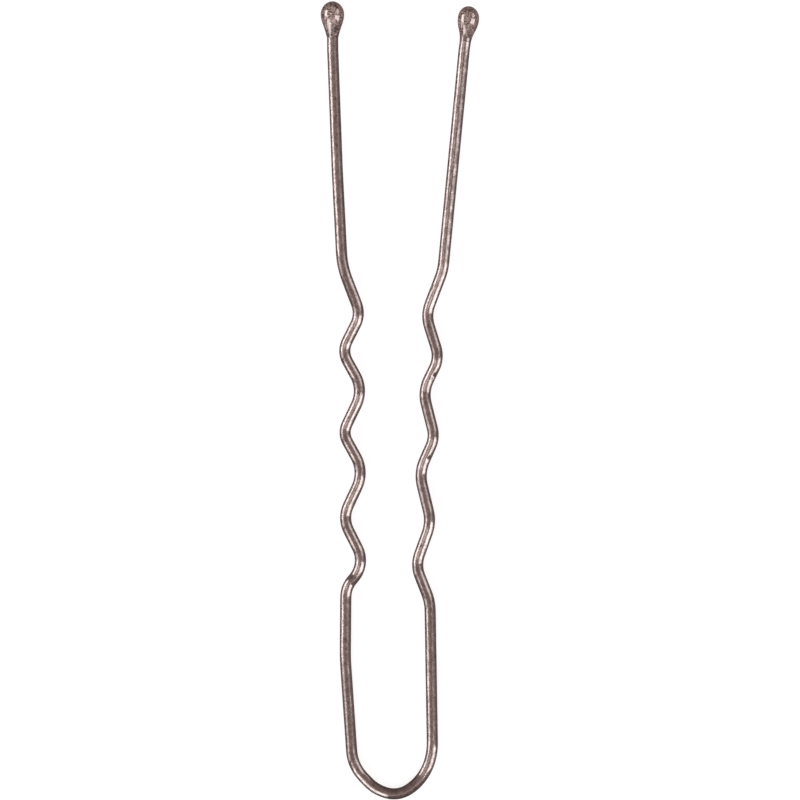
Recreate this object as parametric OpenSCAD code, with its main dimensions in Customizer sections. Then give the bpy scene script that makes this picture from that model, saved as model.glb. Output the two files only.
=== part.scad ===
// A waved hair pin with two legs, lying on a table as it comes to rest.
// One round wire is bent into a U, its legs are waved in the middle, and a drop of resin covers each end.
// +Y runs from the bend to the tips, +X across the legs and +Z up, in millimetres.
// The origin is on the table, under the middle of the pin's box.

/* [Pin] */
// Length from the outside of the bend to the end of the left drop
pin_length = 65; // [60:1:75]
// Thickness of the wire
wire_d = 0.9; // [0.7:0.1:1.1]
// Distance between the wire's middles across the bend
bend_w = 6.5; // [5.5:0.5:7.5]

/* [Lower legs] */
// How far the left leg swells outward between the bend and the waves
left_swell = 0.6; // [0.2:0.1:1]
// Height of the left swelling above the bend
left_swell_h = 11.5; // [9:0.5:13]
// Radius of the left swelling
left_swell_r = 16; // [8:1:20]

/* [Left waves] */
// Height at which the left waves begin
left_wave_h = 17.3; // [16:0.1:19]
// Length of the left waved part
left_wave_l = 26.1; // [24:0.5:28]
// Depth of the left waves
left_wave_depth = 1.65; // [1:0.05:2]
// Distance of the left leg from the pin's middle line where its waves begin
left_wave_start_x = 3.8; // [3.4:0.1:4.4]
// Distance of the left leg from the pin's middle line where its waves end
left_wave_end_x = 4.1; // [3.6:0.1:4.6]

/* [Right waves] */
// Height at which the right waves begin
right_wave_h = 16.1; // [15:0.1:18]
// Length of the right waved part
right_wave_l = 27; // [25:0.5:29]
// Depth of the right waves
right_wave_depth = 1.25; // [0.8:0.05:1.8]
// Distance of the right leg from the pin's middle line where its waves begin
right_wave_start_x = 3.05; // [2.8:0.05:3.8]
// Distance of the right leg from the pin's middle line where its waves end
right_wave_end_x = 4.1; // [3.6:0.1:4.6]

/* [Wave bends] */
// Radius of the wire's middle at a common wave bend
wave_r = 2; // [1:0.1:2.5]

/* [Upper legs] */
// How far the left upper leg bows outward
left_bow = 0.06; // [0:0.01:0.2]
// Radius of that bow
left_bow_r = 60; // [30:5:90]

/* [Tips] */
// Distance of the left drop's middle from the pin's middle line
left_tip_x = 4.9; // [4.2:0.1:6]
// Distance of the right drop's middle from the pin's middle line
right_tip_x = 6.2; // [5:0.1:7]
// How far the right drop ends below the left drop
right_tip_drop = 0.4; // [0:0.1:1]
// Distance below the drop's middle at which the left leg's end turns a little
left_set_back = 3; // [2.5:0.1:4]
// Distance below the drop's middle at which the right leg's end turns a little
right_set_back = 2.7; // [2.5:0.1:4]
// How far the left leg's end stands outward of its line
left_set_x = 0.09; // [0:0.01:0.15]
// How far the right leg's end stands inward of its line
right_set_x = 0.1; // [0:0.01:0.2]
// Radius of these small turns
set_r = 10; // [6:1:14]

/* [Drops] */
// Diameter of the left drop
left_drop_d = 1.92; // [1.6:0.02:2.2]
// Diameter of the right drop
right_drop_d = 1.74; // [1.6:0.02:2.2]
// Length from the left drop's middle to the end of its neck
left_neck_l = 1.8; // [1.6:0.1:2.2]
// Length from the right drop's middle to the end of its neck
right_neck_l = 1.6; // [1.5:0.1:2.2]
// Thickness of the resin at the end of the neck
film = 0.05; // [0.04:0.01:0.08]

/* [Fits] */
// Clearance between the wire and the hole in a drop
drop_clearance = 0.01; // [0.005:0.005:0.02]

/* [Hidden] */
$fn = 48;

wire_r = wire_d / 2;
// A bend draws the wire this much thinner, so that each straight ends in a fine clean shoulder
bend_thinning = 0.005;
// Length by which a bend runs on inside the straight beside it
lap = 0.02;
// Share of a flank that the two bends at its ends may take up between them
flank_share = 0.98;
// Steps round each knee of the bend when the pin's rest on the table is worked out
bend_steps = 12;
// Length by which a cut runs on past what it cuts
past = 1;

// Knees of the bend from left to right, in columns: share of bend_w across from the left leg,
// share of bend_w up from the bottom, radius as a share of bend_w
BEND_KNEES = [
    [0, 0.42, 0.52],
    [0.27, 0.14, 0.46],
    [0.565, 0.025, 0.34],
    [0.905, 0.27, 0.64],
    [1, 0.6, 0.76]
];
// Row of that table, counted from 0, whose knee lies lowest
LOWEST_ROW = 2;

// Knees of the waves from the lower end up, in columns: share of the waved length up,
// share of the depth inward, radius as a share of wave_r
LEFT_WAVES = [
    [0, 0, 1.05],
    [0.07, 1, 1.1],
    [0.215, -0.13, 1.15],
    [0.36, 0.97, 1.35],
    [0.48, -0.07, 0.75],
    [0.615, 0.98, 1.3],
    [0.735, -0.06, 0.85],
    [0.85, 0.88, 1],
    [1, 0, 3.6]
];
RIGHT_WAVES = [
    [0, 0, 1.95],
    [0.11, 1.03, 1.2],
    [0.24, 0.13, 1.55],
    [0.39, 1.04, 1.6],
    [0.495, 0.11, 1.1],
    [0.635, 0.99, 1.4],
    [0.735, 0.02, 1.1],
    [0.865, 1, 1.35],
    [1, 0, 2.3]
];

// Share of the left upper leg at which it bows
BOW_SHARE = 0.44;

// Outline of each drop from inside its ball to the end of its neck, in columns: share of the neck's
// length down, share of the way out from the neck's radius to the ball's
LEFT_FLANK = [
    [0, 0.95],
    [0.24, 0.88],
    [0.42, 0.66],
    [0.6, 0.44],
    [0.8, 0.21],
    [1, 0]
];
RIGHT_FLANK = [
    [0, 0.97],
    [0.27, 0.95],
    [0.47, 0.76],
    [0.67, 0.46],
    [0.87, 0.14],
    [1, 0]
];

function left_x(share) = -(left_wave_start_x + (left_wave_end_x - left_wave_start_x) * share);
function right_x(share) = right_wave_start_x + (right_wave_end_x - right_wave_start_x) * share;
left_waves = [
    for (k = LEFT_WAVES)
        [left_x(k[0]) + left_wave_depth * k[1], left_wave_h + left_wave_l * k[0], wave_r * k[2]]
];
right_waves = [
    for (k = RIGHT_WAVES)
        [right_x(k[0]) - right_wave_depth * k[1], right_wave_h + right_wave_l * k[0], wave_r * k[2]]
];
bend_knees = [for (k = BEND_KNEES) [(k[0] - 0.5) * bend_w, k[1] * bend_w, k[2] * bend_w]];
swell = [-bend_w / 2 - left_swell, left_swell_h, left_swell_r];

function reversed(list) = [for (i = [len(list) - 1:-1:0]) list[i]];
function flat(knee) = [knee.x, knee.y];
function heading(from, to) = atan2(to.y - from.y, to.x - from.x);
function along(angle) = [cos(angle), sin(angle)];

// Angle by which the path turns at a knee, to the left when positive
function turn(path, i) =
    (heading(path[i], path[i + 1]) - heading(path[i - 1], path[i]) + 540) % 360 - 180;
function is_end(path, i) = i == 0 || i == len(path) - 1;
// Length that a round bend of a given radius takes from each flank of its knee
function reach(path, i, r) = is_end(path, i) ? 0 : r * tan(abs(turn(path, i)) / 2);
function flank_length(path, i) = norm(flat(path[i + 1]) - flat(path[i]));
// Share of their full radii that the two bends of one flank have room for
function room(path, i) =
    let (taken = reach(path, i, path[i][2]) + reach(path, i + 1, path[i + 1][2]))
    taken == 0 ? 1 : min(1, flank_share * flank_length(path, i) / taken);
function radius(path, i) = path[i][2] * min(room(path, i - 1), room(path, i));
function bend_reach(path, i) = is_end(path, i) ? 0 : reach(path, i, radius(path, i));
function bend_start(path, i) =
    flat(path[i]) - along(heading(path[i - 1], path[i])) * bend_reach(path, i);
function bend_side(path, i) = turn(path, i) > 0 ? 1 : -1;
function bend_centre(path, i) =
    bend_start(path, i) + along(heading(path[i - 1], path[i]) + 90 * bend_side(path, i)) * radius(path, i);

// The lower part of the path settles where the outside of the bend lies
lower_path = concat(reversed(left_waves), [swell], bend_knees, right_waves);
first_bend_knee = len(left_waves) + 1;
lowest_knee = first_bend_knee + LOWEST_ROW;
bend_bottom = bend_centre(lower_path, lowest_knee).y - radius(lower_path, lowest_knee) - wire_r;

left_drop_r = left_drop_d / 2;
right_drop_r = right_drop_d / 2;
left_tip = [-left_tip_x, bend_bottom + pin_length - left_drop_r, 0];
right_tip = [right_tip_x, bend_bottom + pin_length - right_tip_drop - right_drop_r, 0];

// The knee just below a drop: down from its middle, and to one side of the line from the last wave
function set_knee(wave_end, tip, back, side) =
    let (share = (tip.y - back - wave_end.y) / (tip.y - wave_end.y))
    [wave_end.x + (tip.x - wave_end.x) * share + side, tip.y - back, set_r];
left_wave_end = left_waves[len(left_waves) - 1];
right_wave_end = right_waves[len(right_waves) - 1];
left_set = set_knee(left_wave_end, left_tip, left_set_back, -left_set_x);
right_set = set_knee(right_wave_end, right_tip, right_set_back, -right_set_x);
left_bow_knee = [
    left_wave_end.x + (left_set.x - left_wave_end.x) * BOW_SHARE - left_bow,
    left_wave_end.y + (left_set.y - left_wave_end.y) * BOW_SHARE,
    left_bow_r
];

// The whole path of the wire's middle, from the left tip round to the right tip
wire_path = concat([left_tip, left_set, left_bow_knee], lower_path, [right_set, right_tip]);
last = len(wire_path) - 1;

// The pin rests on its two drops and on the bend, so its plane leans down towards the bend
tips_apart = norm(flat(right_tip) - flat(left_tip));
tips_across = (flat(right_tip) - flat(left_tip)) / tips_apart;
tips_down = [tips_across.y, -tips_across.x];
function height_by_tips(p) =
    left_drop_r + (right_drop_r - left_drop_r) * ((p - flat(left_tip)) * tips_across) / tips_apart;
function below_tips(p) = (p - flat(left_tip)) * tips_down;
// Direction from a bend's centre to where the bend begins
function bend_from(path, i) = heading(path[i - 1], path[i]) - 90 * bend_side(path, i);
// Points of the wire's middle round the lower end of the pin, every few degrees
bend_points = [
    for (i = [0:len(BEND_KNEES) - 1])
        let (j = first_bend_knee + i)
        for (k = [0:1 / bend_steps:1])
            bend_centre(lower_path, j)
                + along(bend_from(lower_path, j) + turn(lower_path, j) * k) * radius(lower_path, j)
];
lean = min([for (p = bend_points) (height_by_tips(p) - wire_r) / below_tips(p)]);
function height(p) = height_by_tips(p) - lean * below_tips(p);
slope_x = height([1, 0]) - height([0, 0]);
slope_y = height([0, 1]) - height([0, 0]);
box_middle = [
    (right_tip.x + right_drop_r + left_tip.x - left_drop_r) / 2,
    bend_bottom + pin_length / 2
];

// Sets what is drawn round the wire's middle plane down on the table
module as_it_rests() {
    translate([0, 0, height(box_middle)])
        rotate([atan(slope_y), -atan(slope_x), 0])
            translate([-box_middle.x, -box_middle.y, 0])
                children();
}

// One straight of the wire, from the bend at knee i to the bend at the next knee
module straight_run(i) {
    direction = heading(wire_path[i], wire_path[i + 1]);
    start = flat(wire_path[i]) + along(direction) * bend_reach(wire_path, i);
    run = flank_length(wire_path, i) - bend_reach(wire_path, i) - bend_reach(wire_path, i + 1);
    translate([start.x, start.y, 0])
        rotate([0, 90, direction])
            cylinder(r = wire_r, h = run);
}

// One round bend of the wire, at knee i
module round_bend(i) {
    bend_r = radius(wire_path, i);
    centre = bend_centre(wire_path, i);
    lap_angle = lap / bend_r * 180 / PI;
    from = bend_from(wire_path, i);
    first = min(from, from + turn(wire_path, i)) - lap_angle;
    translate([centre.x, centre.y, 0])
        rotate([0, 0, first])
            rotate_extrude(angle = abs(turn(wire_path, i)) + 2 * lap_angle)
                translate([bend_r, 0])
                    circle(r = wire_r - bend_thinning);
}

module wire() {
    color([0.49, 0.41, 0.39])
        as_it_rests() {
            for (i = [0:last - 1]) straight_run(i);
            for (i = [1:last - 1]) round_bend(i);
        }
}

// A drop along +Z, with its ball's middle at the origin and a blind hole for the wire's end
module drop(drop_r, neck_l, flank) {
    hole_r = wire_r + drop_clearance;
    neck_r = hole_r + film;
    difference() {
        union() {
            sphere(r = drop_r);
            rotate_extrude()
                polygon(concat(
                    [[0, 0]],
                    [for (k = flank) [neck_r + (drop_r - neck_r) * k[1], -neck_l * k[0]]],
                    [[0, -neck_l]]
                ));
        }
        translate([0, 0, -neck_l - past])
            cylinder(r = hole_r, h = neck_l + past + drop_clearance);
    }
}

// Sets a drop on the wire's end, along the wire's last straight
module on_end(end, neighbour) {
    as_it_rests()
        translate([end.x, end.y, 0])
            rotate([0, 90, heading(neighbour, end)])
                children();
}

module tip_left() {
    color([0.42, 0.33, 0.31])
        on_end(left_tip, left_set)
            drop(left_drop_r, left_neck_l, LEFT_FLANK);
}

module tip_right() {
    color([0.42, 0.33, 0.31])
        on_end(right_tip, right_set)
            drop(right_drop_r, right_neck_l, RIGHT_FLANK);
}

wire();
tip_left();
tip_right();
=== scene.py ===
# %% [markdown]
# This lesson dresses a waved hair pin. The real one is a single steel wire, bent into a U and waved in the
# middle of both legs. Its ends were dipped, so that a drop of resin covers each tip, and then the whole pin
# was lacquered brown. The construction is loaded first. It is the fixed frame that every new piece has to
# fit, and its box is kept, so that the last cell can tell whether the finished pin still has the same size.

# %% Load the frame
import math

import bmesh
import bpy
import numpy as np
from mathutils import Matrix, Vector


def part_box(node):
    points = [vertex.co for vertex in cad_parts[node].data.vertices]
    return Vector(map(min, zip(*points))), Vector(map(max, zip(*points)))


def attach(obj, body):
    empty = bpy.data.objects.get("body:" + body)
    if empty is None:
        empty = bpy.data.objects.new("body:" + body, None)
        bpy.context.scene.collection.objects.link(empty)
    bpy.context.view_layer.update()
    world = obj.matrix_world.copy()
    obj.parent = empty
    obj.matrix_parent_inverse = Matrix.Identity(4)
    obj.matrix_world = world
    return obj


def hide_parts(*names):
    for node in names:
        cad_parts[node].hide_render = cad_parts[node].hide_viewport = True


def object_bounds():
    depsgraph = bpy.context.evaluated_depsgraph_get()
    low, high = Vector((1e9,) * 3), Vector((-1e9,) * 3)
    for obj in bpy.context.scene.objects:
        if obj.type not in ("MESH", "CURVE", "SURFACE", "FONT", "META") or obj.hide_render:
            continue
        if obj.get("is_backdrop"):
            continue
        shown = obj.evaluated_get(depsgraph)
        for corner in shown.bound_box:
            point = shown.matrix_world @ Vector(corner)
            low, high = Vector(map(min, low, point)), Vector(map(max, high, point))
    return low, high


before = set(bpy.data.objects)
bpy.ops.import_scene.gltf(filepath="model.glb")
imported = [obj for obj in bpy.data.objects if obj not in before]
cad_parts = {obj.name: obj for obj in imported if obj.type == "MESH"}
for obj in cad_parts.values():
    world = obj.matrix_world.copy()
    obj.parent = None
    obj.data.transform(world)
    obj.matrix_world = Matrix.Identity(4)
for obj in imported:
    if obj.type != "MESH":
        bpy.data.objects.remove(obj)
cad_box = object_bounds()
print("size of the pin in mm:", [round(1000 * side, 2) for side in cad_box[1] - cad_box[0]])

# %% [markdown]
# The camera comes before anything is modelled, because it decides how fine the work has to be. The pin was
# photographed from straight above, tips at the top, so the camera looks down along Z. Every reflection in
# the photograph fits one direction of view, the same at the tips as at the bend, so the camera has to stand
# far off, with a lens as long as a telescope's.

# %% The camera
MM = 0.001
# Width of the picture at the pin, and how far its middle lies above the pin's, in millimetres
PICTURE_WIDTH = 65.147
PICTURE_MIDDLE_Y = 0.033
PICTURE_PIXELS = 800
# Focal length and width of the sensor, in millimetres
LENS = 1200
SENSOR = 36
# How far the camera sees, in metres, which is well past the table
VIEW_END = 10

wire_low, wire_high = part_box("wire")
wire_middle_z = (wire_low.z + wire_high.z) / 2
camera_distance = PICTURE_WIDTH * MM * LENS / SENSOR
bpy.ops.object.camera_add(
    location=(0, PICTURE_MIDDLE_Y * MM, wire_middle_z + camera_distance), rotation=(0, 0, 0)
)
camera = bpy.context.object
camera.name = "camera"
camera.data.lens = LENS
camera.data.sensor_width = SENSOR
camera.data.clip_end = VIEW_END
bpy.context.scene.camera = camera
pixel = PICTURE_WIDTH / PICTURE_PIXELS
print("camera distance in mm:", round(camera_distance / MM), "and a pixel in mm:", round(pixel, 4))

# %% [markdown]
# The wire's path is a row of knees with straights between them, each knee rounded by a bend of its own
# radius. The tables say it as a maker would measure it: where each wave's crest lies as a share of the
# waved length, how deep it goes, and how tight it is. One function then finds every bend's start, centre
# and angle, and makes a bend tighter where its flanks have no room for it.

# %% The knees of the path
# Thickness of the wire, width of the bend and radius of a common wave, in millimetres
WIRE_D = 0.9
BEND_W = 6.5
WAVE_R = 2
# Outward swelling of the left leg above the bend, its height and its radius
SWELL, SWELL_HEIGHT, SWELL_R = 0.6, 11.5, 16
# Share of a flank that the bends at its two ends may take up between them
FLANK_SHARE = 0.98

# Share of the bend's width across, share of it up, radius as a share of it
BEND_KNEES = [
    (0, 0.42, 0.52),
    (0.27, 0.14, 0.46),
    (0.565, 0.025, 0.34),
    (0.905, 0.27, 0.64),
    (1, 0.6, 0.76),
]
# Row of that table, counted from 0, whose knee lies lowest
LOWEST_ROW = 2
# Share of the waved length up, share of the depth inward, radius as a share of WAVE_R
LEFT_WAVES = [
    (0, 0, 1.05),
    (0.07, 1, 1.1),
    (0.215, -0.13, 1.15),
    (0.36, 0.97, 1.35),
    (0.48, -0.07, 0.75),
    (0.615, 0.98, 1.3),
    (0.735, -0.06, 0.85),
    (0.85, 0.88, 1),
    (1, 0, 3.6),
]
RIGHT_WAVES = [
    (0, 0, 1.95),
    (0.11, 1.03, 1.2),
    (0.24, 0.13, 1.55),
    (0.39, 1.04, 1.6),
    (0.495, 0.11, 1.1),
    (0.635, 0.99, 1.4),
    (0.735, 0.02, 1.1),
    (0.865, 1, 1.35),
    (1, 0, 2.3),
]


def waved_leg(table, side, start, length, start_x, end_x, depth):
    """Knees of one waved leg from the bottom up, at x on the side -1 or 1 of the pin's middle line"""
    return [
        (side * (start_x + (end_x - start_x) * up - depth * inward), start + length * up, WAVE_R * tight)
        for up, inward, tight in table
    ]


def rounded(knees):
    """Start, centre, radius and turn of the bend at each knee between the path's two ends"""
    spots = [Vector(knee[:2]) for knee in knees]
    flanks = [b - a for a, b in zip(spots, spots[1:])]
    turns = [math.atan2(a.x * b.y - a.y * b.x, a.dot(b)) for a, b in zip(flanks, flanks[1:])]
    reach = [0, *(knee[2] * math.tan(abs(turn) / 2) for knee, turn in zip(knees[1:], turns)), 0]
    room = [min(1, FLANK_SHARE * f.length / (a + b)) for f, a, b in zip(flanks, reach, reach[1:])]
    bends = []
    for i, turn in enumerate(turns, 1):
        share = min(room[i - 1], room[i])
        way = flanks[i - 1].normalized()
        start = spots[i] - way * reach[i] * share
        radius = knees[i][2] * share
        centre = start + Vector((-way.y, way.x)) * math.copysign(radius, turn)
        bends.append((start, centre, radius, turn))
    return bends


left_waves = waved_leg(LEFT_WAVES, side=-1, start=17.3, length=26.1, start_x=3.8, end_x=4.1, depth=1.65)
right_waves = waved_leg(RIGHT_WAVES, side=1, start=16.1, length=27, start_x=3.05, end_x=4.1, depth=1.25)
bend_knees = [((x - 0.5) * BEND_W, y * BEND_W, r * BEND_W) for x, y, r in BEND_KNEES]
swell_knee = (-BEND_W / 2 - SWELL, SWELL_HEIGHT, SWELL_R)
lower_knees = [*left_waves[::-1], swell_knee, *bend_knees, *right_waves]
lowest_bend = rounded(lower_knees)[len(left_waves) + LOWEST_ROW]
bend_bottom = lowest_bend[1].y - lowest_bend[2] - WIRE_D / 2
print("lowest point of the bend in mm:", round(bend_bottom, 4))

# %% [markdown]
# Above the waves each leg runs nearly straight to its drop. The left one bows outward by a hair, and both
# turn a little just below the drop, where the maker set the tip. The whole path is then moved into the
# frame: its box is centred on the origin, and millimetres become metres.

# %% The upper legs and the whole path
# Length of the pin, and places of its tips across it
PIN_LENGTH = 65
LEFT_TIP_X, RIGHT_TIP_X = -4.9, 6.2
# Radii of the drops, and how far the right one ends below the left one
LEFT_DROP_R, RIGHT_DROP_R = 0.96, 0.87
RIGHT_TIP_DROP = 0.4
# Radius of the turn below each drop
SET_R = 10
# Outward bow of the left upper leg, its radius, and the share of the leg at which it lies
BOW, BOW_R, BOW_SHARE = 0.06, 60, 0.44

left_tip = Vector((LEFT_TIP_X, bend_bottom + PIN_LENGTH - LEFT_DROP_R))
right_tip = Vector((RIGHT_TIP_X, bend_bottom + PIN_LENGTH - RIGHT_TIP_DROP - RIGHT_DROP_R))


def set_knee(wave_end, tip, back, outward):
    """The knee just below a drop, to one side of the line from the last wave to the tip"""
    share = (tip.y - back - wave_end[1]) / (tip.y - wave_end[1])
    return (wave_end[0] + (tip.x - wave_end[0]) * share + outward, tip.y - back, SET_R)


left_set = set_knee(left_waves[-1], left_tip, back=3, outward=-0.09)
right_set = set_knee(right_waves[-1], right_tip, back=2.7, outward=-0.1)
bow_x, bow_y = (a + (b - a) * BOW_SHARE for a, b in zip(left_waves[-1][:2], left_set[:2]))
bow_knee = (bow_x - BOW, bow_y, BOW_R)
knees = [(*left_tip, 0), left_set, bow_knee, *lower_knees, right_set, (*right_tip, 0)]

middle_x = (left_tip.x - LEFT_DROP_R + right_tip.x + RIGHT_DROP_R) / 2
middle_y = bend_bottom + PIN_LENGTH / 2
path = [((x - middle_x) * MM, (y - middle_y) * MM, r * MM) for x, y, r in knees]
bends = rounded(path)
print("knees:", len(path), "and tightest bend in mm:", round(min(bend[2] for bend in bends) / MM, 2))

# %% [markdown]
# The pin lies on its two drops and on the outside of its bend, so the plane of the wire leans by about
# half a degree. The lean could be worked out again from the drops, but the loaded wire already has it: the
# plane that fits its vertices best is the plane of the wire's middle line.

# %% The plane that the pin lies in
vertices = np.array([vertex.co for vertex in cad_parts["wire"].data.vertices])
plane_point = vertices.mean(axis=0)
plane_normal = np.linalg.svd(vertices - plane_point, full_matrices=False)[2][2]
slope_x, slope_y = (-plane_normal[k] / plane_normal[2] for k in (0, 1))
lift = plane_point[2] - slope_x * plane_point[0] - slope_y * plane_point[1]
lean = (math.atan(slope_y), -math.atan(slope_x), 0)
print("lean in degrees:", [round(math.degrees(a), 4) for a in lean], "lift in mm:", round(lift / MM, 4))


def select_only(piece):
    """Makes one piece the active and only selected object"""
    bpy.ops.object.select_all(action="DESELECT")
    piece.select_set(True)
    bpy.context.view_layer.objects.active = piece


def lay_down(piece):
    """Leans a piece that was modelled on the level into the pin's plane, and keeps its place in its mesh"""
    select_only(piece)
    piece.rotation_euler = lean
    piece.location.z = lift
    bpy.ops.object.transform_apply(location=True, rotation=True, scale=True)


# %% [markdown]
# The wire is drawn the way it is bent by hand. A circle is its cross section at the left tip: the bare
# wire and a coat of lacquer a hundredth of a millimetre thick. It is extruded along each straight and spun
# round each bend, step by step, until it reaches the right tip. A curve with a bevel would give the same
# tube faster, but here every ring stays where a later step can find it. Spin turns clockwise for a
# positive angle, so the turn goes in with its sign changed.

# %% Draw the wire
SIDES = 32
STRAIGHT_STEP = 0.3 * MM
BEND_STEP = 0.24 * MM
COAT = 0.012


def across(way):
    """Turn that stands a primitive's own Z axis along a flat direction"""
    return (math.pi / 2, 0, math.atan2(way[1], way[0]) + math.pi / 2)


def draw_straight(here, there):
    """Extrudes the selected ring from one flat point to another in even steps"""
    run = there - here
    steps = max(1, round(run.length / STRAIGHT_STEP))
    for step in range(steps):
        bpy.ops.mesh.extrude_region_move(TRANSFORM_OT_translate={"value": (*run / steps, 0)})


left_end, right_end = Vector(path[0][:2]), Vector(path[-1][:2])
bpy.ops.object.select_all(action="DESELECT")
bpy.ops.mesh.primitive_circle_add(
    vertices=SIDES,
    radius=(WIRE_D / 2 + COAT) * MM,
    location=(*left_end, 0),
    rotation=across(Vector(path[1][:2]) - left_end),
)
wire = bpy.context.object
wire.name = "lacquered_wire"
bpy.ops.object.transform_apply(location=True, rotation=True, scale=True)
bpy.ops.object.mode_set(mode="EDIT")
bpy.ops.mesh.select_all(action="SELECT")
here = left_end
for start, centre, radius, turn in bends:
    draw_straight(here, start)
    steps = max(2, round(abs(turn) * radius / BEND_STEP))
    bpy.ops.mesh.spin(steps=steps, angle=-turn, center=(*centre, 0), axis=(0, 0, 1))
    arm = start - centre
    here = centre + Vector(
        (arm.x * math.cos(turn) - arm.y * math.sin(turn), arm.x * math.sin(turn) + arm.y * math.cos(turn))
    )
draw_straight(here, right_end)
bpy.ops.object.mode_set(mode="OBJECT")
rings = len(wire.data.vertices) // SIDES
print("rings:", rings, "and miss at the right tip in mm:", round((here - right_end).length / MM, 3))

# %% [markdown]
# Finishes follow the wire, not the room: lines from the drawing die run along it, round every bend. So each
# vertex keeps the place that it had while the wire was still straight: how far along it lies, and where
# it is round the section. The rings were made in order, which makes this a short sum over them. The same
# two numbers are also laid out flat, as a UV map. Its seam runs along the wire, and the faces beside the
# seam count on to a whole turn there instead of back to none.

# %% Remember the straight wire
flat_rings = np.array([vertex.co for vertex in wire.data.vertices]).reshape(rings, SIDES, 3)
ring_middles = flat_rings.mean(axis=1)
steps_between = np.linalg.norm(np.diff(ring_middles, axis=0), axis=1)
along = np.concatenate([[0], np.cumsum(steps_between)])
outward = flat_rings - ring_middles[:, None]
ways = np.gradient(ring_middles, axis=0)
sideways = np.stack([-ways[:, 1], ways[:, 0]], axis=1)
sideways /= np.linalg.norm(sideways, axis=1)[:, None]
drawn = np.zeros((rings, SIDES, 3))
drawn[:, :, 0] = along[:, None]
drawn[:, :, 1] = (outward[:, :, :2] * sideways[:, None]).sum(axis=2)
drawn[:, :, 2] = outward[:, :, 2]
straight_place = wire.data.attributes.new("straight_place", "FLOAT_VECTOR", "POINT")
straight_place.data.foreach_set("vector", drawn.astype(np.float32).ravel())

corners = np.zeros(len(wire.data.loops), np.int32)
wire.data.loops.foreach_get("vertex_index", corners)
ring_of, side_of = corners // SIDES, corners % SIDES
around = side_of / SIDES
FACE_CORNERS = 4
face_sides = side_of.reshape(-1, FACE_CORNERS)
crosses_seam = (face_sides.max(axis=1) == SIDES - 1) & (face_sides.min(axis=1) == 0)
around[np.repeat(crosses_seam, FACE_CORNERS) & (side_of == 0)] = 1
unrolled = wire.data.uv_layers.new(name="unrolled")
turns_along = along[ring_of] / (math.pi * WIRE_D * MM)
unrolled.data.foreach_set("uv", np.stack([around, turns_along], axis=1).astype(np.float32).ravel())
print("length of the wire in mm:", round(along[-1] / MM, 2))

# %% [markdown]
# The cut ends sit inside the drops, where nobody sees them, but the wire should still be a closed piece.
# Each end is given the small round that a cutter and the lacquer leave: the open ring is extruded a little
# further and drawn in, three times, and then closed.

# %% Close the two cut ends
CUT_ROUND = [(0.05 * MM, 0.93), (0.04 * MM, 0.72), (0.01 * MM, 0.5)]


def select_ring(piece, first):
    """Selects the ring of vertices that starts at one index, in edit mode"""
    mesh = bmesh.from_edit_mesh(piece.data)
    mesh.verts.ensure_lookup_table()
    for vertex in mesh.verts:
        vertex.select = first <= vertex.index < first + SIDES
    mesh.select_flush_mode()
    bmesh.update_edit_mesh(piece.data)


select_only(wire)
bpy.ops.object.mode_set(mode="EDIT")
bpy.ops.mesh.select_mode(type="VERT")
for first, end, neighbour in [(0, left_end, path[1]), ((rings - 1) * SIDES, right_end, path[-2])]:
    select_ring(wire, first)
    way = (end - Vector(neighbour[:2])).normalized()
    for length, width in CUT_ROUND:
        bpy.ops.mesh.extrude_region_move(TRANSFORM_OT_translate={"value": (*way * length, 0)})
        end = end + way * length
        bpy.ops.transform.resize(value=(width, width, width), center_override=(*end, 0))
    bpy.ops.mesh.edge_face_add()
bpy.ops.mesh.select_all(action="SELECT")
bpy.ops.mesh.normals_make_consistent(inside=False)
bpy.ops.object.mode_set(mode="OBJECT")
print("faces of the wire:", len(wire.data.polygons))

# %% [markdown]
# Lacquer flows before it sets, so the coated wire is round but never quite even: its reflections waver
# along the legs. A subdivision rounds the section. A displacement by soft clouds, wider than the wire is
# thick, then raises and lowers the coat by a few thousandths of a millimetre.

# %% Round the wire and let the lacquer waver
WAVER_WIDTH = 1.5 * MM
WAVER_HEIGHT = 0.01 * MM


def subdivide(piece, levels):
    """Rounds a piece by subdivision, and applies it"""
    rounding = piece.modifiers.new("rounding", "SUBSURF")
    rounding.levels = rounding.render_levels = levels
    bpy.ops.object.modifier_apply(modifier=rounding.name)


def waver(piece, name, width, height):
    """Moves a piece's surface in and out by soft clouds of one width and height, and applies it"""
    clouds = bpy.data.textures.new(name, "CLOUDS")
    clouds.noise_scale = width
    clouds.noise_depth = 1
    unevenness = piece.modifiers.new(name, "DISPLACE")
    unevenness.texture = clouds
    unevenness.strength = height
    bpy.ops.object.modifier_apply(modifier=unevenness.name)


select_only(wire)
subdivide(wire, 1)
waver(wire, "wire_waver", WAVER_WIDTH, WAVER_HEIGHT)
print("vertices of the rounded wire:", len(wire.data.vertices))

# %% [markdown]
# The bending pins left a few marks on the wire: small dents in the flanks of the waves. Each is a single
# vertex pressed in, and its neighbours follow by a soft falloff, the way proportional editing does it by
# hand. The same function with a positive height will raise a bubble later.

# %% Dents of the bending pins
DENT_R = 0.2 * MM
DENT_DEPTH = 0.035 * MM
# Where the dents lie, in millimetres from the middle of the pin
DENTS = [(2.71, 1.9), (2.33, -4.77), (-3.87, -15.06), (2.59, 9.23)]


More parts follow.
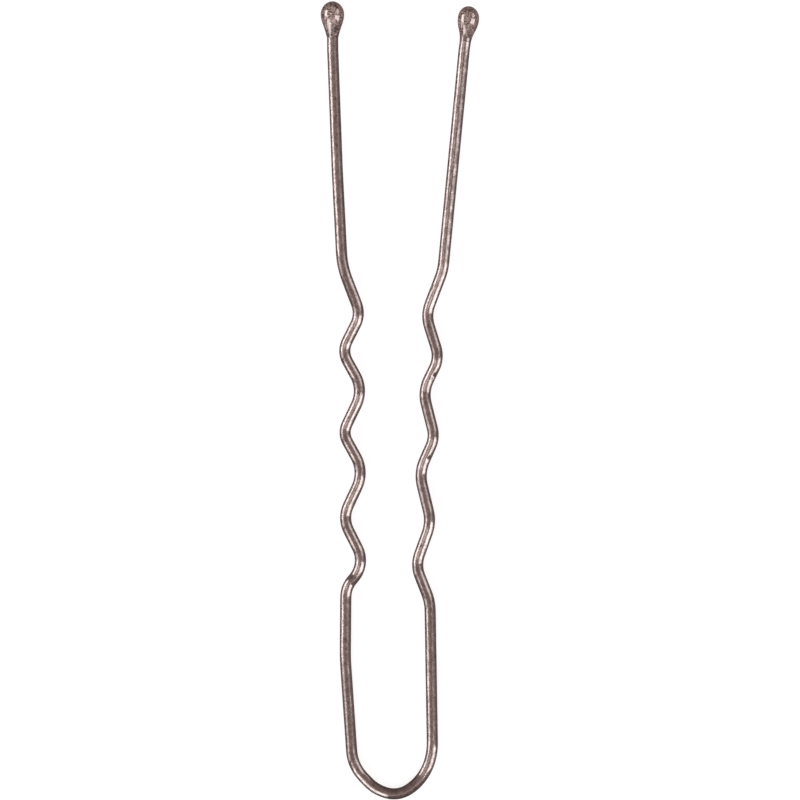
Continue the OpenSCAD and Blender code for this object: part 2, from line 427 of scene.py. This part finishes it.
def press(piece, place, radius, height):
    """Moves the upper side of a piece in or out round a flat place"""
    facing_up = [vertex for vertex in piece.data.vertices if vertex.co.z > 0]
    middle = min(facing_up, key=lambda vertex: (vertex.co.xy - place).length)
    bpy.ops.object.mode_set(mode="EDIT")
    bpy.ops.mesh.select_all(action="DESELECT")
    mesh = bmesh.from_edit_mesh(piece.data)
    mesh.verts.ensure_lookup_table()
    mesh.verts[middle.index].select = True
    way = mesh.verts[middle.index].normal * height
    bmesh.update_edit_mesh(piece.data)
    bpy.ops.transform.translate(
        value=way,
        use_proportional_edit=True,
        proportional_edit_falloff="SPHERE",
        proportional_size=radius,
    )
    bpy.ops.object.mode_set(mode="OBJECT")


for dent in DENTS:
    press(wire, Vector(dent) * MM, DENT_R, -DENT_DEPTH)
lay_down(wire)
bpy.ops.object.shade_smooth()
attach(wire, "root")
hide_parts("wire")
print("faces of the finished wire:", len(wire.data.polygons))

# %% [markdown]
# Each tip was dipped in resin and hung to set, so the drop is an egg with a long neck that thins out on
# the wire. No two drops set alike. A table for each neck gives its rings from the widest one down. The
# last ring lies just under the wire's own surface, so the resin has no visible edge.

# %% The necks of the two drops
# Distance below the widest ring and half the width there, both in millimetres
LEFT_NECK = [
    (0.2, 0.95),
    (0.4, 0.912),
    (0.6, 0.858),
    (0.8, 0.785),
    (1.0, 0.712),
    (1.2, 0.65),
    (1.4, 0.588),
    (1.5, 0.556),
    (1.6, 0.532),
    (1.68, 0.514),
    (1.75, 0.494),
    (1.82, 0.473),
    (1.88, 0.455),
]
RIGHT_NECK = [
    (0.18, 0.864),
    (0.36, 0.845),
    (0.52, 0.815),
    (0.68, 0.775),
    (0.84, 0.727),
    (1.0, 0.67),
    (1.17, 0.607),
    (1.31, 0.56),
    (1.4, 0.537),
    (1.5, 0.513),
    (1.6, 0.494),
    (1.72, 0.48),
    (1.85, 0.468),
    (1.98, 0.455),
]
print("lengths of the necks in mm:", LEFT_NECK[-1][0], "and", RIGHT_NECK[-1][0])

# %% [markdown]
# A sphere with its axis along the wire's end is the start of a drop. Its lower half is cut away, the upper
# half is stretched to the egg's blunt top, and the open equator is extruded down the wire ring by ring,
# drawn in each time to the width that the neck has there. The neck is closed inside the wire.

# %% Shape an egg and its neck
DROP_SIDES = 64
DROP_ROWS = 32
# How far the widest ring lies below the tip, what counts as below it, and half the width of the closing
# ring inside the wire, in millimetres
EGG_BACK = 0.13
JUST_BELOW = 0.01
INSIDE_WIRE = 0.3


def half_egg(name, widest, way, ball_r):
    """The upper half of an egg, left in edit mode with its open rim selected"""
    bpy.ops.object.select_all(action="DESELECT")
    bpy.ops.mesh.primitive_uv_sphere_add(
        segments=DROP_SIDES,
        ring_count=DROP_ROWS,
        radius=ball_r * MM,
        location=(*widest, 0),
        rotation=across(way),
    )
    drop = bpy.context.object
    drop.name = name
    bpy.ops.object.transform_apply(location=True, rotation=True, scale=True)
    bpy.ops.object.mode_set(mode="EDIT")
    bpy.ops.mesh.select_mode(type="VERT")
    bpy.ops.mesh.select_all(action="DESELECT")
    mesh = bmesh.from_edit_mesh(drop.data)
    for vertex in mesh.verts:
        vertex.select = (vertex.co.xy - widest).dot(way) < -JUST_BELOW * MM
    mesh.select_flush_mode()
    bmesh.update_edit_mesh(drop.data)
    bpy.ops.mesh.delete(type="VERT")
    bpy.ops.mesh.select_all(action="SELECT")
    bpy.ops.transform.resize(value=(1, 1 + EGG_BACK / ball_r, 1), center_override=(*widest, 0))
    bpy.ops.mesh.region_to_loop()
    return drop


def draw_neck(widest, way, width, neck):
    """Extrudes the selected rim down the wire, closes it there, and leaves edit mode"""
    down = 0
    for next_down, next_width in [*neck, (neck[-1][0], INSIDE_WIRE)]:
        bpy.ops.mesh.extrude_region_move(
            TRANSFORM_OT_translate={"value": (*way * (down - next_down) * MM, 0)}
        )
        factor = next_width / width
        centre = widest - way * next_down * MM
        bpy.ops.transform.resize(value=(factor,) * 3, center_override=(*centre, 0))
        down, width = next_down, next_width
    bpy.ops.mesh.edge_face_add()
    bpy.ops.mesh.select_all(action="SELECT")
    bpy.ops.mesh.normals_make_consistent(inside=False)
    bpy.ops.object.mode_set(mode="OBJECT")


print("faces round a drop and down to its widest ring, before rounding:", DROP_SIDES, DROP_ROWS // 2)

# %% [markdown]
# Both drops are made the same way. Two wavers make the form a little lumpy and the skin a little wrinkled,
# and one bubble lifts the skin of the left drop. Each vertex also remembers how far down the neck it lies,
# because the drop's colour is darkened there with painted shade.

# %% The drops of resin
LUMP_WIDTH, LUMP_HEIGHT = 0.7 * MM, 0.008 * MM
WRINKLE_WIDTH, WRINKLE_HEIGHT = 0.2 * MM, 0.002 * MM
BUBBLE_R, BUBBLE_HEIGHT = 0.16 * MM, 0.06 * MM
# Where the bubble lies, in millimetres from the middle of the pin
LEFT_BUBBLE = (-5.45, 32)


def resin_drop(name, tip, neighbour, ball_r, neck, bubble=None):
    """A closed drop of resin on the wire's end, as wide as a ball round the tip"""
    way = (tip - Vector(neighbour[:2])).normalized()
    widest = tip - way * EGG_BACK * MM
    drop = half_egg(name, widest, way, ball_r)
    draw_neck(widest, way, ball_r, neck)
    subdivide(drop, 1)
    waver(drop, name + "_form", LUMP_WIDTH, LUMP_HEIGHT)
    waver(drop, name + "_skin", WRINKLE_WIDTH, WRINKLE_HEIGHT)
    if bubble:
        press(drop, Vector(bubble) * MM, BUBBLE_R, BUBBLE_HEIGHT)
    # How far down the neck each vertex lies: the mask for the painted shade on the neck
    below = np.array([(widest - vertex.co.xy).dot(way) for vertex in drop.data.vertices])
    neck_shade = drop.data.attributes.new("neck_shade", "FLOAT", "POINT")
    neck_shade.data.foreach_set("value", np.clip(below / (neck[-1][0] * MM), 0, 1).astype(np.float32))
    lay_down(drop)
    bpy.ops.object.shade_smooth()
    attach(drop, "root")
    print(name, "faces:", len(drop.data.polygons))
    return drop


left_drop = resin_drop("resin_drop_left", left_end, path[1], LEFT_DROP_R, LEFT_NECK, LEFT_BUBBLE)
right_drop = resin_drop("resin_drop_right", right_end, path[-2], RIGHT_DROP_R, RIGHT_NECK)
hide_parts("tip_left")
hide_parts("tip_right")

# %% [markdown]
# Materials are written with one small function that adds a node, sets what it is given and links its
# inputs. Inputs that share a name, such as the two of a sum, are given in their order instead. Colours are
# noted as the hex values that a colour picker shows, and one function turns them into the linear light
# that shaders count in.

# %% Helpers for materials


def linear(hex_colour):
    """An sRGB colour such as #7d6964 as the linear colour that shaders use"""
    channels = [int(hex_colour[i:i + 2], 16) / 255 for i in (1, 3, 5)]
    return (*(c / 12.92 if c <= 0.04045 else ((c + 0.055) / 1.055) ** 2.4 for c in channels), 1)


def add_node(tree, kind, settings=(), in_order=(), **inputs):
    """Adds a node, sets its settings and its inputs, and links an input that is given as a socket"""
    node = tree.nodes.new(kind)
    for name, value in dict(settings).items():
        setattr(node, name, value)
    by_name = [(node.inputs[name.replace("_", " ")], value) for name, value in inputs.items()]
    for socket, value in [*zip(node.inputs, in_order), *by_name]:
        if isinstance(value, bpy.types.NodeSocket):
            tree.links.new(value, socket)
        else:
            socket.default_value = value
    return node


def new_material(name):
    """An empty material with its output node"""
    material = bpy.data.materials.new(name)
    material.use_nodes = True
    material.node_tree.nodes.clear()
    return material, material.node_tree, material.node_tree.nodes.new("ShaderNodeOutputMaterial")


print("a middle grey in linear light:", round(linear("#808080")[0], 3))

# %% [markdown]
# The wire and its drops wear the same lacquer, so one function makes it: a coloured body under a clear
# coat. Two bumps lie under the shine. The first is the skin, as uneven as the surface below it. The second
# is a fine relief that follows the same pattern as the colour. Each finish then brings its own pattern.

# %% A lacquer that follows a pattern


def lacquer(name, place, grain, unevenness, pattern, relief, tones):
    """Metallic lacquer under a clear coat: bumps of one grain at a place, relief and tones by a pattern"""
    material, tree, output = new_material(name)
    skin = add_node(
        tree, "ShaderNodeTexNoise", Vector=place(tree), Scale=1 / grain, Detail=2, Roughness=0.5
    )
    smooth = add_node(
        tree, "ShaderNodeBump", Strength=1, Distance=unevenness, Height=skin.outputs["Fac"]
    )
    height = pattern(tree)
    bump = add_node(
        tree,
        "ShaderNodeBump",
        Strength=1,
        Distance=relief,
        Height=height,
        Normal=smooth.outputs["Normal"],
    )
    colours = add_node(tree, "ShaderNodeValToRGB", Fac=height)
    ramp = colours.color_ramp
    for place_on_ramp, _ in tones[1:-1]:
        ramp.elements.new(place_on_ramp)
    for stop, (place_on_ramp, tone) in zip(ramp.elements, tones):
        stop.position = place_on_ramp
        stop.color = linear(tone)
    shader = add_node(
        tree,
        "ShaderNodeBsdfPrincipled",
        Base_Color=colours.outputs["Color"],
        Metallic=1,
        Roughness=0.18,
        Normal=bump.outputs["Normal"],
        Coat_Weight=1,
        Coat_Roughness=0.27,
        Coat_Normal=bump.outputs["Normal"],
    )
    tree.links.new(shader.outputs["BSDF"], output.inputs["Surface"])
    return material, tree, shader


# %% [markdown]
# The wire is drawn steel under a stoved brown metallic lacquer. To the eye that is a dull brown metal with
# a thin clear shine on top. It keeps the fine lines that the drawing die leaves along the wire, so each
# reflection is spread round the wire but stays sharp along it. That is anisotropy, with its tangent
# running round the wire, and it makes the highlights break off cleanly where the wire turns. Real die
# lines and metal flakes are a few hundredths of a millimetre wide, less than half a pixel here. They are
# drawn about ten times coarser, as long lines for the bump and as soft clouds for the colour.

# %% The lacquered steel wire
# How much longer a die line is than it is wide, and how wide the drawn flakes are
LINE_STRETCH = 8
FLAKE = 0.28 * MM


def place_on_straight_wire(tree):
    """Where a point was while the wire was still straight"""
    return add_node(tree, "ShaderNodeAttribute", {"attribute_name": "straight_place"}).outputs["Vector"]


def place_along_lines(tree):
    """The same place with its length pressed together, so that a grain becomes a line along the wire"""
    factors = (1 / LINE_STRETCH, 1, 1)
    lines = add_node(
        tree, "ShaderNodeVectorMath", {"operation": "MULTIPLY"}, [place_on_straight_wire(tree), factors]
    )
    return lines.outputs["Vector"]


def mottling(tree):
    """Soft clouds as fine as the flakes of the lacquer"""
    flakes = add_node(
        tree,
        "ShaderNodeTexNoise",
        Vector=place_on_straight_wire(tree),
        Scale=1 / FLAKE,
        Detail=3,
        Roughness=0.6,
    )
    return flakes.outputs["Fac"]


def dress(piece, material):
    """Gives a piece its one material"""
    piece.data.materials.clear()
    piece.data.materials.append(material)


wire_lacquer, tree, shader = lacquer(
    "stoved_lacquer_on_drawn_wire",
    place_along_lines,
    grain=0.25 * MM,
    unevenness=0.02 * MM,
    pattern=mottling,
    relief=0.0015 * MM,
    tones=[(0.24, "#3f3735"), (0.34, "#7f7572"), (0.66, "#aba09d")],
)
round_the_wire = add_node(tree, "ShaderNodeTangent", {"direction_type": "UV_MAP", "uv_map": "unrolled"})
tree.links.new(round_the_wire.outputs["Tangent"], shader.inputs["Tangent"])
shader.inputs["Anisotropic"].default_value = 1
dress(wire, wire_lacquer)
print("nodes in the wire's lacquer:", len(tree.nodes))

# %% [markdown]
# The drops wear the same lacquer, but the resin under it has no drawing lines. The lacquer lies thick
# there, so its pearl pigment hangs in swirls. Swirls come from a smooth noise whose height is read off
# like a map: a zigzag over the height turns it into pale and dark contours. Painted shade darkens them
# down the neck towards the wire, and towards the rim where the surface turns away from the camera; the
# painted rim shade stands for pearl flakes seen edge on. Pearl is mica coated with titanium oxide, whose
# index of refraction is well above a lacquer's 1.5. An index of 2.2 with a warm specular tint stands for
# the two together: a coloured body with bright, sharp windows.

# %% The lacquered drops
# Width of a swirl, number of contours over the whole height of the noise, and height of the zigzag
SWIRL = 0.5 * MM
CONTOURS = 7
ZIGZAG = 0.5
# Share of the neck at which painted shade begins to fade the swirls, and what is left of them at its end
NECK_SHADE_FROM, NECK_SHADE_SHARE = 0.1, 0.5
# How far the rim reaches in, and from where painted shade fades the swirls towards it
RIM_SHADE_BLEND, RIM_SHADE_FROM = 0.3, 0.75
PEARL_IOR = 2.2


def place_in_frame(tree):
    """A point's own place, for a piece that was never bent"""
    return add_node(tree, "ShaderNodeTexCoord").outputs["Object"]


def swirls(tree):
    """A zigzag over the height of soft hills, darkened by painted shade down the neck and towards the rim
    """
    hills = add_node(
        tree,
        "ShaderNodeTexNoise",
        Vector=place_in_frame(tree),
        Scale=1 / SWIRL,
        Detail=1,
        Roughness=0.4,
        Distortion=0.4,
    )
    height = add_node(tree, "ShaderNodeMath", {"operation": "MULTIPLY"}, [hills.outputs["Fac"], CONTOURS])
    swirl = add_node(tree, "ShaderNodeMath", {"operation": "PINGPONG"}, [height.outputs["Value"], ZIGZAG])
    neck_shade = add_node(tree, "ShaderNodeAttribute", {"attribute_name": "neck_shade"})
    rim = add_node(tree, "ShaderNodeLayerWeight", Blend=RIM_SHADE_BLEND)
    # Painted shade: fading the swirls darkens the colour down the neck and towards the rim
    for start, end_share, fading in (
        (NECK_SHADE_FROM, NECK_SHADE_SHARE, neck_shade.outputs["Fac"]),
        (RIM_SHADE_FROM, 0, rim.outputs["Facing"]),
    ):
        fade = add_node(
            tree, "ShaderNodeMapRange", Value=fading, From_Min=start, To_Min=1, To_Max=end_share
        )
        parts = [swirl.outputs["Value"], fade.outputs["Result"]]
        swirl = add_node(tree, "ShaderNodeMath", {"operation": "MULTIPLY"}, parts)
    return swirl.outputs["Value"]


drop_lacquer, tree, shader = lacquer(
    "stoved_lacquer_on_resin",
    place_in_frame,
    grain=0.25 * MM,
    unevenness=0.004 * MM,
    pattern=swirls,
    relief=0.0015 * MM,
    tones=[(0.1, "#2f2726"), (0.4, "#ab9a94")],
)
shader.inputs["Metallic"].default_value = 0
shader.inputs["Roughness"].default_value = 0.1
shader.inputs["Coat Roughness"].default_value = 0.1
shader.inputs["IOR"].default_value = PEARL_IOR
shader.inputs["Specular Tint"].default_value = linear("#ffece9")
for drop in (left_drop, right_drop):
    dress(drop, drop_lacquer)
print("nodes in the drops' lacquer:", len(tree.nodes))

# %% [markdown]
# The floor is a light table, a sheet of opal acrylic lit from below, as small jewellery is photographed
# on. It gives the white ground of a catalogue picture and keeps shadows thin. The pin in the photograph
# mirrors no bright ground, so the sheet is hidden from reflections and lights nothing but itself.

# %% The light table
# Side of the sheet in metres, and how brightly it glows
TABLE_SIZE = 3
TABLE_GLOW = 0.8

bpy.ops.mesh.primitive_plane_add(size=TABLE_SIZE, location=(0, 0, 0))
floor = bpy.context.object
floor.name = "light_table"
acrylic, tree, output = new_material("opal_acrylic")
shader = add_node(
    tree,
    "ShaderNodeBsdfPrincipled",
    Base_Color=linear("#9a9a9b"),
    Roughness=0.6,
    Emission_Color=linear("#ffffff"),
    Emission_Strength=TABLE_GLOW,
)
tree.links.new(shader.outputs["BSDF"], output.inputs["Surface"])
floor.data.materials.append(acrylic)
floor.visible_glossy = False
floor.visible_diffuse = False
floor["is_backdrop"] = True
print("side of the light table in m:", TABLE_SIZE)

# %% [markdown]
# Four soft boxes stand round the table, two on each side. Weak cards fill in from the left, from overhead,
# from the front of the bend and, as a narrow strip, from the right. On a thin round wire each one becomes
# a bright line, and the gaps between them make the line break off where the wire changes direction. The
# first four numbers say where a box stands as seen from the pin and how it is turned, the last three how
# large and how bright it is.

# %% Soft boxes
# Watts that give a square metre of light a radiance of one
WATTS = 4
# Name, azimuth, zenith, roll in degrees, distance, width, height in metres, radiance
BOXES = [
    ("box_left_up", 165.1, 68.4, -2.8, 1.07, 0.684, 0.457, 3.45),
    ("box_left_down", 232.4, 60.3, 9, 1.43, 1.224, 0.962, 2.5),
    ("box_right_down", 342.6, 51.1, 7.2, 2.23, 0.73, 1.88, 2.65),
    ("box_right_up", 24.8, 58, 20.2, 3.4, 1.555, 2.19, 1.4),
    ("card_left", 191.3, 68, 5.1, 3.28, 0.718, 2.41, 1.25),
    ("card_overhead", 163.2, 19, 14.2, 3.4, 0.385, 1.115, 1.4),
    ("card_front", 288, 32, 3.3, 2.33, 2.1, 0.54, 0.47),
    ("card_right", 0.7, 45, 0, 0.636, 0.019, 0.2, 1.2),
]


def soft_box(name, azimuth, zenith, roll, distance, wide, high, radiance):
    """A rectangular light aimed at the pin"""
    a, z = math.radians(azimuth), math.radians(zenith)
    towards = Vector((math.cos(a) * math.sin(z), math.sin(a) * math.sin(z), math.cos(z)))
    level = Vector((-math.sin(a), math.cos(a), 0))
    turned = Matrix.Rotation(math.radians(roll), 3, towards)
    across_box, up_box = turned @ level, turned @ towards.cross(level)
    bpy.ops.object.light_add(type="AREA", location=towards * distance)
    box = bpy.context.object
    box.name = name
    box.rotation_euler = Matrix((across_box, up_box, towards)).transposed().to_euler()
    box.data.shape = "RECTANGLE"
    box.data.size = wide
    box.data.size_y = high
    box.data.energy = radiance * WATTS * wide * high


for box in BOXES:
    soft_box(*box)
print("soft boxes and cards:", len(BOXES))

# %% [markdown]
# Between the boxes the wire mirrors the room, which is dim and a warm grey: darkest at the floor, a
# little brighter at the walls, brightest at the ceiling. A ramp over the direction's height says that. The
# boxes stand at the sides, so the room also falls off towards the front and the back.

# %% The room
ROOM_TONES = {"floor": 0.21, "walls": 0.3, "ceiling": 0.52}
WARMTH = (1, 0.741, 0.708)
# Brightness at the front and the back, as a share of that at the sides
FRONT_AND_BACK = 0.62

world = bpy.data.worlds.new("dim_studio")
bpy.context.scene.world = world
world.use_nodes = True
room = world.node_tree
direction = add_node(room, "ShaderNodeTexCoord").outputs["Generated"]
axes = add_node(room, "ShaderNodeSeparateXYZ", Vector=direction)
share = add_node(room, "ShaderNodeMapRange", Value=axes.outputs["Z"], From_Min=-1, From_Max=1)
tones = add_node(room, "ShaderNodeValToRGB", Fac=share.outputs["Result"])
tones.color_ramp.elements.new(0.5)
for stop, tone in zip(tones.color_ramp.elements, ROOM_TONES.values()):
    stop.color = (*(tone * warm for warm in WARMTH), 1)
room.links.new(tones.outputs["Color"], room.nodes["Background"].inputs["Color"])
sideways, forwards = (
    add_node(room, "ShaderNodeMath", {"operation": "ABSOLUTE"}, [axes.outputs[axis]]).outputs["Value"]
    for axis in "XY"
)
balance = add_node(room, "ShaderNodeMath", {"operation": "SUBTRACT"}, [sideways, forwards])
falloff = add_node(
    room,
    "ShaderNodeMapRange",
    Value=balance.outputs["Value"],
    From_Min=-1,
    To_Min=FRONT_AND_BACK,
)
room.links.new(falloff.outputs["Result"], room.nodes["Background"].inputs["Strength"])
bpy.context.scene.view_settings.view_transform = "Standard"
print("brightness of the room:", ROOM_TONES)

# %% [markdown]
# Last, the finished pin is measured against the box of the construction.

# %% Compare the sizes
scene_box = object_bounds()
for corner, cad, scene in zip(("low", "high"), cad_box, scene_box):
    print(corner, "corner, scene less CAD in mm:", [round((b - a) / MM, 3) for a, b in zip(cad, scene)])
